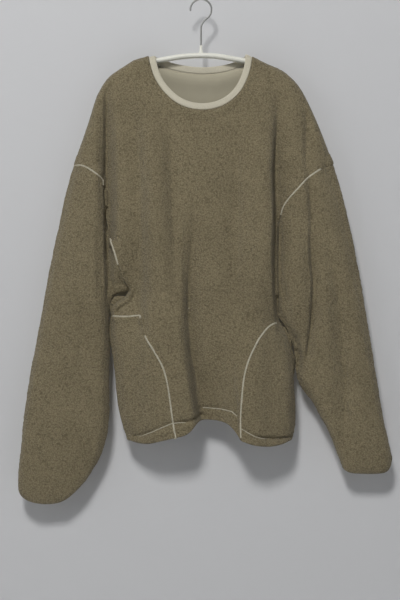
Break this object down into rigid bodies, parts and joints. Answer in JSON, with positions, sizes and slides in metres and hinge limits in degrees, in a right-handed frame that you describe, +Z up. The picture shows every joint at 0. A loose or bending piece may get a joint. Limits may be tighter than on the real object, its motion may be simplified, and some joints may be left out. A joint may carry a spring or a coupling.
{
  "type": "sherpa fleece pullover on a clothes hanger",
  "caption": "Wide boa-fleece pullover with long drop-shoulder sleeves, a bound round neck and curved corner panels, hanging from a thin arched hanger.",
  "frame": {"origin": "inside top of the hanger's hook, where a rail or a wall hook carries the whole", "axes": "+Z up along the hanger's shank, -Y out of the front of the pullover, +X to the right of someone who looks at the front"},
  "size_m": [0.6739, 0.0851, 0.9105],
  "materials": {
    "fleece": "curly boa pile outside, smooth knit inside",
    "rib": "fine rib knit",
    "hanger_plastic": "satin",
    "hook_steel": "satin"
  },
  "bodies": {
    "root": {"front_panel": "fleece", "back_panel": "fleece", "side_panel_left": "fleece", "side_panel_right": "fleece", "sleeve_left": "fleece", "sleeve_right": "fleece", "neck_binding": "rib", "hanger_bar": "hanger_plastic", "hanger_hook": "hook_steel"}
  },
  "joints": []
}
